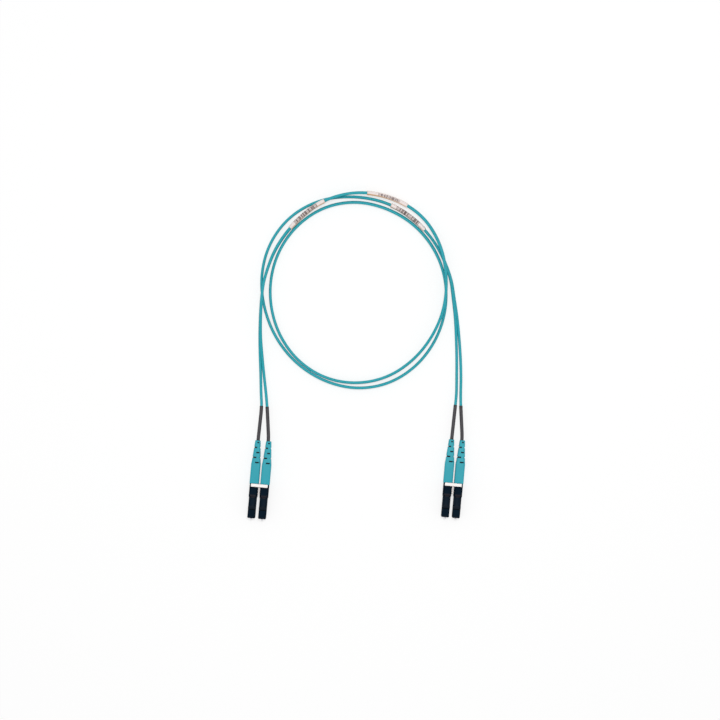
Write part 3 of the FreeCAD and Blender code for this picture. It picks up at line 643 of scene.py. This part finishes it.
def tubeMesh(name, line, radius, bore, sides):
    # A tube along a line, with its own map: distance along it, and share of the way round
    def ring(at, reach):
        place, side, up = at
        turns = [2 * math.pi * i / sides for i in range(sides)]
        return [place + (side * math.cos(turn) + up * math.sin(turn)) * reach * mm for turn in turns]

    frames = tubeFrames(line)
    rings = [ring(at, radius) for at in frames]
    if bore:
        rings += [ring(at, bore) for at in reversed(frames)]
    mesh = ringMesh(name, rings, closed=bool(bore))
    along = [0.0]
    for before, after in zip(line, line[1:]):
        along.append(along[-1] + (after - before).length / mm)
    layout = mesh.uv_layers.new(name="along")
    for face in mesh.polygons:
        turns = [(vertex % sides) / sides for vertex in face.vertices]
        wraps = max(turns) - min(turns) > 0.5
        for loop, vertex in zip(face.loop_indices, face.vertices):
            row = vertex // sides
            turn = vertex % sides / sides
            layout.data[loop].uv = (
                along[row if row < len(line) else 2 * len(line) - 1 - row],
                turn + 1 if wraps and turn < 0.5 else turn,
            )
    smoothOver(mesh, 40)
    return mesh, along


cordLines = {}
cordParts = {1: [], 2: []}
cords = {}
for number in (1, 2):
    points = cordPoints(number, strand["start"])
    cords[number] = cordCurve(f"cord{number}", points, strand["radius"])
    cords[number].data.materials.append(finish["jacket_aqua"])
    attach(cords[number], "root")
    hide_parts(f"cord_{number}_jacket")
    cordLines[number] = bareLine(points)
    fiberLine = bareLine(cordPoints(number, strand["fiberStart"]))
    for kind, line, radius, bore, slot in (
        ("yarn", cordLines[number], strand["yarn"], strand["fiber"] + strand["yarnPlay"], "yarn_aramid"),
        ("fiber", fiberLine, strand["fiber"], 0.0, "fiber_buffer"),
    ):
        name = f"cord{number}{kind.title()}"
        mesh, _ = tubeMesh(name, line, radius, bore, strand["innerSides"])
        piece = newPiece(name, mesh, [finish[slot]])
        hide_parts(f"cord_{number}_{kind}")
        cordParts[number].append(piece)
print("strands laid")


# Strain sleeves follow their strand from inside the boot to a little past it
def makeSleeve(pair, letter, number):
    length = sleeve["to"] - sleeve["from"]
    first = sleeve["from"] - strand["start"]
    line = cordLines[number] if pair == "left" else list(reversed(cordLines[number]))
    line = stretchOf(line, first * mm, (first + length) * mm)
    name = f"{pair}{letter.upper()}StrainSleeve"
    mesh, along = tubeMesh(name, line, sleeve["radius"], sleeve["bore"], sleeve["sides"])
    rim = mesh.attributes.new("rim", "FLOAT", "POINT")
    for index in range(len(mesh.vertices)):
        row = index // sleeve["sides"]
        row = row if row < len(line) else 2 * len(line) - 1 - row
        # rim marks the sleeve's darker last part, and a painted shadow of the boot's mouth just past the
        # boot's end
        past = along[row] + sleeve["from"] - sleeve["bootEdge"]
        nearEnd = along[-1] - along[row] < sleeve["rim"]
        rim.data[index].value = 1.0 if nearEnd or 0 < past < sleeve["mouth"] else 0.0
    piece = newPiece(name, mesh, [finish["sleeve_charcoal"]])
    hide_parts(f"{pair}_{letter}_strain_sleeve")
    return piece


for pair, letter, number in (("left", "a", 1), ("left", "b", 2), ("right", "a", 2), ("right", "b", 1)):
    cordParts[number].append(makeSleeve(pair, letter, number))
print("strain sleeves made")


# Label sleeves. "turn", "from" and "to" say where one lies on the route, in turns and degrees, and
# "print" and "round" which share of its length and which degrees round it carry bars. "edge" is
# where round it the painted brown shade starts, and "tan" how strong that painted shade is at each end.
labels = {
    "label_left_end": {
        "turn": 0, "from": 135, "to": 109, "print": (0.16, 0.81), "bars": 50, "round": (-64, 80),
        "edge": 34, "tan": (0.5, 0.8), "kept": 0.7, "depth": 1.0, "seed": 3,
    },
    "label_middle": {
        "turn": 0, "from": 84, "to": 60, "print": (0.26, 0.8), "bars": 54, "round": (-60, 24),
        "edge": 6, "tan": (1.0, 0.45), "kept": 0.35, "depth": 0.75, "seed": 8,
    },
    "label_right_end": {
        "turn": 2, "from": 68.5, "to": 43, "print": (0.14, 0.8), "bars": 50, "round": (-64, 80),
        "edge": 38, "tan": (0.7, 0.4), "kept": 0.7, "depth": 1.0, "seed": 5,
    },
}
wrap = {
    "radius": 1.2, "bore": 0.92, "stations": 40, "arcs": 14, "barCells": 10, "barLift": 0.012,
    "barZone": 4, "shareNarrow": 0.25, "shadeOver": 14, "endShade": 0.3,
}


def roundRing(line):
    # Each point with the angle it has come to round the turns, falling all the way
    steps = []
    middleX, middleY = route["middle"]
    for point in line:
        angle = math.degrees(math.atan2(point.y / mm - middleY, point.x / mm - middleX))
        reached = steps[-1][0] if steps else 300
        steps.append((reached + (angle - reached + 180) % 360 - 180, point))
    return steps


def atAngle(steps, angle):
    # The point where a strand passes an angle
    for (startAngle, start), (endAngle, end) in zip(steps, steps[1:]):
        if startAngle >= angle > endAngle:
            return start.lerp(end, (startAngle - angle) / (startAngle - endAngle))
    raise ValueError(angle)


def labelStation(angle):
    # Both strands at an angle, the way along them, the way out, and the way up from one to the other
    lower, upper = [atAngle(roundSteps[number], angle) for number in (1, 2)]
    onLower, onUpper = [atAngle(roundSteps[number], angle - 1) for number in (1, 2)]
    way = (onLower + onUpper - lower - upper).normalized()
    upper = upper - way * (upper - lower).dot(way)
    up = (upper - lower).normalized()
    return lower, upper, way.cross(up), up


def labelRing(station, reach):
    # A flat oval round the two strands; 0 degrees is its top and 90 its inner side
    lower, upper, side, up = station
    points = []
    for centre, first in ((upper, -90), (lower, 90)):
        for i in range(wrap["arcs"] + 1):
            turn = math.radians(first + 180 * i / wrap["arcs"])
            points.append(centre + (up * math.cos(turn) + side * math.sin(turn)) * reach * mm)
    return points


def makeLabel(node, look):
    stations = []
    for index in range(wrap["stations"] + 1):
        angle = look["from"] + (look["to"] - look["from"]) * index / wrap["stations"]
        stations.append(labelStation(angle - 360 * look["turn"]))
    rings = [labelRing(station, wrap["radius"]) for station in stations]
    rings += [labelRing(station, wrap["bore"]) for station in reversed(stations)]
    name = "".join(part.title() if part != "label" else part for part in node.split("_"))
    mesh = ringMesh(name, rings, closed=True)
    smoothOver(mesh, 40)
    # The edge attribute holds a painted brown shade: on the inner side where the label turns under, and at
    # its two ends
    edge = mesh.attributes.new("edge", "FLOAT", "POINT")
    count = len(rings[0])
    for index in range(len(mesh.vertices)):
        turn = -90 + 180 * min(index % count, wrap["arcs"]) / wrap["arcs"]
        under = 1.0
        if index % count <= wrap["arcs"]:
            under = min(max((turn - look["edge"]) / wrap["shadeOver"], 0), 1)
        row = index // count
        row = min(row, 2 * wrap["stations"] + 1 - row)
        start, end = look["tan"]
        tan = start + (end - start) * row / wrap["stations"]
        least = wrap["endShade"] if row in (0, wrap["stations"]) else 0
        edge.data[index].value = max(under * tan, least)
    piece = newPiece(name, mesh, [finish["label_white"]])
    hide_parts(node)
    return piece


def printPatch(look):
    # A thin skin over the printed part of a label, one row of cells for each place a bar may be
    shape = bmesh.new()
    rows = []
    start, end = look["print"]
    low, high = look["round"]
    for index in range(look["bars"] + 1):
        share = start + (end - start) * index / look["bars"]
        angle = look["from"] + (look["to"] - look["from"]) * share - 360 * look["turn"]
        lower, upper, side, up = labelStation(angle)
        row = []
        for cell in range(wrap["barCells"] + 1):
            turn = math.radians(low + (high - low) * cell / wrap["barCells"])
            reach = (wrap["radius"] + wrap["barLift"]) * mm
            row.append(shape.verts.new(upper + (up * math.cos(turn) + side * math.sin(turn)) * reach))
        rows.append(row)
    for row, after in zip(rows, rows[1:]):
        for i in range(wrap["barCells"]):
            shape.faces.new((row[i], after[i], after[i + 1], row[i + 1]))
    mesh = bpy.data.meshes.new("printPatch")
    shape.to_mesh(mesh)
    shape.free()
    return mesh


def newTree(name, inputs):
    # A shape's node tree with named sizes; returns its recipe and its inputs
    tree = bpy.data.node_groups.new(name, "GeometryNodeTree")
    tree.interface.new_socket("Geometry", in_out="INPUT", socket_type="NodeSocketGeometry")
    for label, kind in inputs.items():
        tree.interface.new_socket(label, in_out="INPUT", socket_type=f"NodeSocket{kind}")
    tree.interface.new_socket("Geometry", in_out="OUTPUT", socket_type="NodeSocketGeometry")
    recipe = Recipe(tree)
    return recipe, recipe.node("NodeGroupInput", {}, {})


def endTree(recipe, geometry, material):
    real = recipe.node("GeometryNodeRealizeInstances", {}, {"Geometry": geometry})
    done = recipe.node("GeometryNodeSetMaterial", {}, {"Geometry": real, "Material": material})
    recipe.node("NodeGroupOutput", {}, {"Geometry": done})


def newHolder(mesh):
    # An object that carries a mesh only while a modifier works on it
    holder = bpy.data.objects.new("holder", mesh)
    scene.collection.objects.link(holder)
    return holder


def plainMesh(holder):
    # What the holder's modifier has made, as a mesh of its own
    seen = bpy.context.evaluated_depsgraph_get()
    made = bpy.data.meshes.new_from_object(holder.evaluated_get(seen))
    bpy.data.objects.remove(holder)
    return made


def grown(mesh, tree, values):
    # The plain mesh that a tree makes of a mesh
    holder = newHolder(mesh)
    modifier = holder.modifiers.new("shape", "NODES")
    modifier.node_group = tree
    for item in tree.interface.items_tree:
        if item.in_out == "INPUT" and item.name in values:
            modifier[item.identifier] = values[item.name]
    return plainMesh(holder)


def barTree():
    # Keeps some rows of cells as bars, at random, and gives each its own depth of ink
    recipe, given = newTree("printedBars", {
        "Cells Across": "Int", "Share Kept": "Float", "Share Narrow": "Float",
        "Ink Depth": "Float", "Zone": "Int", "Seed": "Int",
    })

    def chance(spot, seed):
        return recipe.node(
            "FunctionNodeRandomValue", {"data_type": "FLOAT"},
            {2: 0.0, 3: 1.0, "ID": spot, "Seed": seed}, 1)

    bar = recipe.node("GeometryNodeInputIndex", {}, {}) / given.also("Cells Across")
    cell = recipe.node("GeometryNodeInputIndex", {}, {}) % given.also("Cells Across")
    bar = bar.maths("FLOOR", bar)
    zone = bar.maths("FLOOR", bar / given.also("Zone"))
    pick = chance(bar, given.also("Seed"))
    short = chance(bar, given.also("Seed") + 1.0)
    dense = 0.25 + chance(zone, given.also("Seed") + 2.0)
    outer = abs(cell / given.also("Cells Across") - 0.45) > 0.3
    # Every other row is a bar, and the rows between fill up where the print is dense
    filled = dense * given.also("Share Kept")
    gone = (bar % 2.0) * (pick > filled) + (short < given.also("Share Narrow")) * outer
    ink = given.also("Ink Depth") * (0.35 * dense + 0.4 * short)
    inked = recipe.node(
        "GeometryNodeStoreNamedAttribute", {"data_type": "FLOAT", "domain": "FACE"},
        {"Geometry": given.also("Geometry"), "Name": "ink", "Value": ink})
    left = recipe.node(
        "GeometryNodeDeleteGeometry", {"domain": "FACE", "mode": "ALL"},
        {"Geometry": inked, "Selection": gone > 0.5})
    endTree(recipe, left, inkMaterial)
    return recipe.tree


roundSteps = {number: roundRing(line) for number, line in cordLines.items()}
bars = barTree()
for node, look in labels.items():
    piece = makeLabel(node, look)
    marks = grown(printPatch(look), bars, {
        "Cells Across": wrap["barCells"], "Share Kept": look["kept"], "Share Narrow": wrap["shareNarrow"],
        "Ink Depth": look["depth"], "Zone": wrap["barZone"], "Seed": look["seed"],
    })
    inkPiece = newPiece(f"{piece.name}Bars", marks, [])
    cordParts[1] += [piece, inkPiece]
print("labels wrapped and marked")


# Boots: a rounded square tube that tapers, with slots cut across the taper in turn
boot = {
    "front": 20.1, "end": 45.0, "grip": 11.3, "shoulder": 1.5,
    "half": 2.7, "shoulderHalf": 2.475, "endHalf": 1.525,
    "squareness": 6.8, "endSquareness": 2.9, "columns": 120, "edge": 0.18, "sideFrom": 0.9,
    "earHalf": 2.6, "earInside": 2.3, "earHeight": 1.8, "earLength": 0.5,
    "crimpRoom": 2.0, "crimpRoomEnd": 26.05, "neckRoom": 1.3, "neckRoomEnd": 31.85,
    "sleeveRoom": 1.12, "mouth": 1.3,
    "slots": 5, "firstSlot": 1.18, "slotStep": 2.88, "slotThickness": 0.78, "slotFloor": 1.3,
    # The rings that each slot needs, drawn for a slot that is slotDrawn thick
    "slotRings": (-0.32, -0.28, 0.0, 0.28, 0.32, 0.66, -0.66), "slotDrawn": 0.6,
    # The even slots' sides, and how far they move out from one slot to the next
    "slotLeft": -0.17, "leftStep": 0.075, "slotRight": 0.86, "rightStep": 0.27,
    "notch": 1.5, "nick": 0.3,
}


def squareRing(back, half, squareness, ears=0.0):
    # Points round a soft square across the plug, pushed forward at the ears
    points = []
    for index in range(boot["columns"]):
        turn = 2 * math.pi * index / boot["columns"]
        across, up = math.cos(turn), math.sin(turn)
        reach = half / (abs(across) ** squareness + abs(up) ** squareness) ** (1 / squareness)
        onEar = abs(across * reach) > boot["sideFrom"] * half and abs(up * reach) < boot["earHeight"]
        forward = ears if onEar else 0.0
        points.append(Vector((across * reach, back - forward, up * reach)) * mm)
    return points


def bootHalf(back):
    # Half of the boot's width and how square it is, at a distance from the plug's front
    grip = boot["front"] + boot["grip"]
    past = back - grip - boot["shoulder"]
    taper = boot["end"] - grip - boot["shoulder"]
    if past < 0:
        share = max(back - grip, 0) / boot["shoulder"]
        return boot["half"] + (boot["shoulderHalf"] - boot["half"]) * share, boot["squareness"]
    share = past / taper
    half = boot["shoulderHalf"] + (boot["endHalf"] - boot["shoulderHalf"]) * share
    return half, boot["squareness"] + (boot["endSquareness"] - boot["squareness"]) * share


def bootMesh():
    grip = boot["front"] + boot["grip"]
    edge = boot["edge"]
    backs = [boot["front"] + edge, boot["front"] + 1.0, grip, grip + boot["shoulder"] / 2]
    backs += [grip + boot["shoulder"], boot["end"] - edge]
    for slot in range(boot["slots"]):
        middle = boot["end"] - boot["firstSlot"] - boot["slotStep"] * slot
        for offset in boot["slotRings"]:
            backs.append(middle + offset * boot["slotThickness"] / boot["slotDrawn"])
    rings = [
        squareRing(boot["front"], boot["crimpRoom"], 2.0),
        squareRing(boot["front"], boot["earInside"] - 0.02, boot["squareness"]),
        squareRing(boot["front"], boot["earInside"], boot["squareness"], boot["earLength"]),
        squareRing(boot["front"], boot["earHalf"] - 0.06, boot["squareness"], boot["earLength"]),
        squareRing(boot["front"] + 0.06, boot["earHalf"], boot["squareness"], boot["earLength"]),
        squareRing(boot["front"] + 0.07, boot["half"] - 0.05, boot["squareness"]),
    ]
    rings += [squareRing(back, *bootHalf(back)) for back in sorted(backs)]
    half, squareness = bootHalf(boot["end"])
    for share in (0.4, 0.75, 1.0):
        back = boot["end"] - edge * (1 - share)
        rings.append(squareRing(back, half - edge * (1 - math.sqrt(1 - share ** 2)), squareness))
    rings += [
        squareRing(boot["end"], boot["mouth"], 2.0),
        squareRing(boot["end"] - 0.5, boot["sleeveRoom"], 2.0),
        squareRing(boot["neckRoomEnd"], boot["sleeveRoom"], 2.0),
        squareRing(boot["neckRoomEnd"], boot["neckRoom"], 2.0),
        squareRing(boot["crimpRoomEnd"] + 0.5, boot["neckRoom"], 2.0),
        squareRing(boot["crimpRoomEnd"], boot["crimpRoom"], 2.0),
    ]
    return ringMesh("boot", rings, closed=True)


def slotTree():
    # Presses the wall in to the slot floor above and below: in the middle in the even slots,
    # and from the left edge in the odd ones, which also nick both sides
    sizes = ("End", "First Slot", "Slot Step", "Slot Thickness", "Slot Count", "Slot Floor",
             "Slot Left", "Left Step", "Slot Right", "Right Step", "Notch", "Nick")
    recipe, given = newTree("bootSlots", {label: "Float" for label in sizes})
    place = recipe.node("GeometryNodeInputPosition", {}, {})
    parts = recipe.node("ShaderNodeSeparateXYZ", {}, {"Vector": place})
    x, y, z = parts, parts.also("Y"), parts.also("Z")
    ahead = given.also("End") - y - given.also("First Slot")
    level = ahead.maths("ROUND", ahead / given.also("Slot Step"))
    off = abs(ahead - level * given.also("Slot Step"))
    inside = (off < given.also("Slot Thickness") / 2) * (level > -0.5)
    inside = inside * (level < given.also("Slot Count") - 0.5)
    odd = level % 2.0
    left = given.also("Slot Left") - level * given.also("Left Step")
    right = given.also("Slot Right") + level * given.also("Right Step")
    middle = (x > left) * (x < right)
    beside = (x < 0.0) + (x > given.also("Notch"))
    upDown = inside * ((1.0 - odd) * middle + odd * beside)
    floor = given.also("Slot Floor")
    sunkZ = z.maths("MAXIMUM", z.maths("MINIMUM", z, floor), 0.0 - floor)
    sides = (x > given.also("Notch")) - (x < 0.0 - given.also("Notch"))
    newX = x - inside * odd * sides * given.also("Nick")
    newZ = z + upDown * (sunkZ - z)
    depth = abs(newZ - z) * (x < given.also("Notch"))
    target = recipe.node("ShaderNodeCombineXYZ", {}, {"X": newX, "Y": y, "Z": newZ})
    # Marks the pushed-in points, which the boot's finish colours dark as painted shade in the slots
    marked = recipe.node(
        "GeometryNodeStoreNamedAttribute", {"data_type": "FLOAT", "domain": "POINT"},
        {"Geometry": given.also("Geometry"), "Name": "cut", "Value": depth > 0.02 * mm})
    moved = recipe.node("GeometryNodeSetPosition", {}, {"Geometry": marked, "Position": target})
    endTree(recipe, moved, finish["boot_aqua"])
    return recipe.tree


bootShape = grown(bootMesh(), slotTree(), {
    "End": boot["end"] * mm, "First Slot": boot["firstSlot"] * mm, "Slot Step": boot["slotStep"] * mm,
    "Slot Thickness": boot["slotThickness"] * mm, "Slot Count": float(boot["slots"]),
    "Slot Floor": boot["slotFloor"] * mm, "Slot Left": boot["slotLeft"] * mm,
    "Left Step": boot["leftStep"] * mm, "Slot Right": boot["slotRight"] * mm,
    "Right Step": boot["rightStep"] * mm, "Notch": boot["notch"] * mm, "Nick": boot["nick"] * mm,
})
smoothOver(bootShape, 42)
print("boot shaped")


# Trigger ridges: low round bars across the trigger's thumb end
ridges = {
    "count": 4, "first": 13.05, "height": 4.98, "step": 0.36, "fall": -0.147, "radius": 0.1,
    "width": 2.9, "sides": 14,
}


def ridgeTree():
    recipe, given = newTree("triggerRidges", {
        "Count": "Int", "Start": "Vector", "Step": "Vector", "Radius": "Float", "Width": "Float"})
    places = recipe.node(
        "GeometryNodeMeshLine", {},
        {"Count": given.also("Count"), "Start Location": given.also("Start"), "Offset": given.also("Step")})
    rod = recipe.node(
        "GeometryNodeMeshCylinder", {},
        {"Vertices": ridges["sides"], "Radius": given.also("Radius"), "Depth": given.also("Width")})
    rods = recipe.node(
        "GeometryNodeInstanceOnPoints", {},
        {"Points": places, "Instance": rod, "Rotation": (0.0, math.pi / 2, 0.0)})
    endTree(recipe, rods, finish["housing_black"])
    return recipe.tree


ridgeShape = grown(bpy.data.meshes.new("ridges"), ridgeTree(), {
    "Count": ridges["count"], "Start": (0.0, ridges["first"] * mm, ridges["height"] * mm),
    "Step": (0.0, ridges["step"] * mm, ridges["fall"] * mm), "Radius": ridges["radius"] * mm,
    "Width": ridges["width"] * mm,
})
smoothOver(ridgeShape, 42)

# Moulded pieces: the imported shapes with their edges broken. Each has its piece's name, the
# width of the bevel, its finish and its body.
edges = {
    "front_housing": ("FrontHousing", 0.09, "housing_black", ""),
    "rear_body": ("RearBody", 0.1, "housing_black", ""),
    "latch_arm": ("LatchArm", 0.07, "housing_black", "latch"),
    "trigger": ("Trigger", 0.07, "housing_black", "trigger"),
    "ferrule": ("Ferrule", 0.04, "ferrule_ceramic", "ferrule"),
    "duplex_clip": ("DuplexClip", 0.12, "clip_white", ""),
}


def mergedCopy(node, flatten):
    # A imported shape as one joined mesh, with its flat faces in one piece if flatten is true
    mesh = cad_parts[node].data.copy()
    mesh.materials.clear()
    shape = bmesh.new()
    shape.from_mesh(mesh)
    bmesh.ops.remove_doubles(shape, verts=shape.verts, dist=0.001 * mm)
    if flatten:
        bmesh.ops.dissolve_limit(
            shape, angle_limit=math.radians(0.5), verts=shape.verts, edges=shape.edges)
    shape.to_mesh(mesh)
    shape.free()
    return mesh


def softened(node, width):
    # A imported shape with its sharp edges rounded
    holder = newHolder(mergedCopy(node, True))
    bevel = holder.modifiers.new("edges", "BEVEL")
    bevel.width = width * mm
    bevel.segments = 3
    bevel.limit_method = "ANGLE"
    bevel.angle_limit = math.radians(32)
    made = plainMesh(holder)
    smoothOver(made, 30)
    return made


def dressNode(node, name, width, slot, body):
    piece = newPiece(name, softened(node, width), [finish[slot]], body)
    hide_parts(node)
    return piece


def markBack(mesh, place):
    # Keeps each point's distance along its plug, in millimetres from the front
    mark = mesh.attributes.new("back", "FLOAT", "POINT")
    home = place.inverted()
    for vertex in mesh.vertices:
        mark.data[vertex.index].value = (home @ vertex.co).y / mm


def dressSpring(plug, title):
    # The ferrule's spring as imported, with smooth shading
    mesh = mergedCopy(f"{plug}_spring", False)
    smoothOver(mesh, 50)
    piece = newPiece(f"{title}Spring", mesh, [finish["spring_steel"]])
    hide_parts(f"{plug}_spring")
    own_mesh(piece)


for pair in ("left", "right"):
    for letter, side in (("a", -1), ("b", 1)):
        plug = f"{pair}_{letter}"
        title = f"{pair}{letter.upper()}"
        place = plugMatrix(pair, side)
        for part in ("front_housing", "rear_body", "latch_arm", "trigger", "ferrule"):
            name, width, slot, body = edges[part]
            body = f"{plug}_{body}" if body else "root"
            piece = dressNode(f"{plug}_{part}", title + name, width, slot, body)
            if part in ("latch_arm", "trigger"):
                markBack(piece.data, place)
        shape = bootShape.copy()
        shape.transform(place)
        piece = newPiece(f"{title}Boot", shape, [])
        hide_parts(f"{plug}_boot")
        shape = ridgeShape.copy()
        shape.transform(place)
        markBack(shape, place)
        newPiece(f"{title}TriggerRidges", shape, [], f"{plug}_trigger")
        dressSpring(plug, title)
        for part, slot in (("ferrule_flange", "flange_metal"), ("crimp_sleeve", "crimp_metal")):
            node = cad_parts[f"{plug}_{part}"]
            node.data.materials.clear()
            node.data.materials.append(finish[slot])
    name, width, slot, _ = edges["duplex_clip"]
    dressNode(f"{pair}_duplex_clip", f"{pair}{name}", width, slot, "root")
print("plugs, boots and clips dressed")

for number in (1, 2):
    exit = cordPoints(number, strand["start"])[0]
